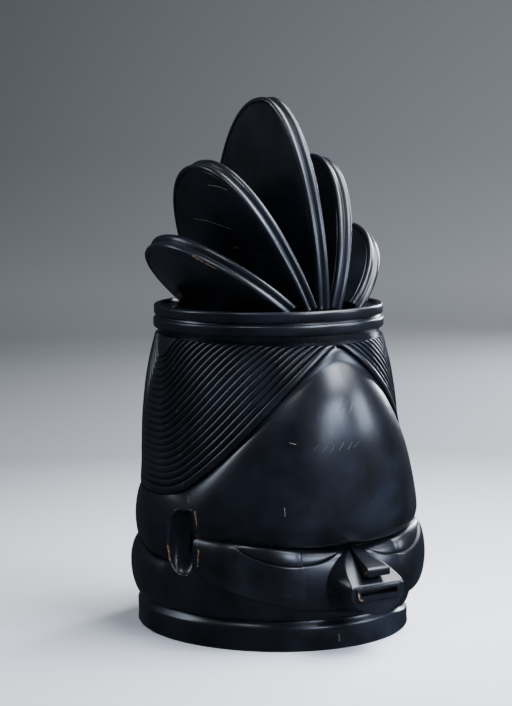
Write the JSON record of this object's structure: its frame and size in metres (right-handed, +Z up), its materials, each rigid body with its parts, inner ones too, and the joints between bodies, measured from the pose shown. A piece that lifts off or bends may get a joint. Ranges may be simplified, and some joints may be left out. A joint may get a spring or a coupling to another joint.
{
  "type": "sowei helmet mask",
  "caption": "Hollow carved wooden helmet mask with neck rolls, ridged hair, a ringed band and a fan-shaped crest.",
  "frame": {"origin": "on the ground under the middle of the carving's outer box", "axes": "+Z up towards the crest, -Y out of the face, +X to the mask's own left"},
  "size_m": [0.223, 0.2762, 0.42],
  "materials": {
    "blackened_wood": "polished wood dyed near black, with worn edges showing pale wood"
  },
  "bodies": {
    "root": {"mask": "blackened_wood"}
  },
  "joints": []
}
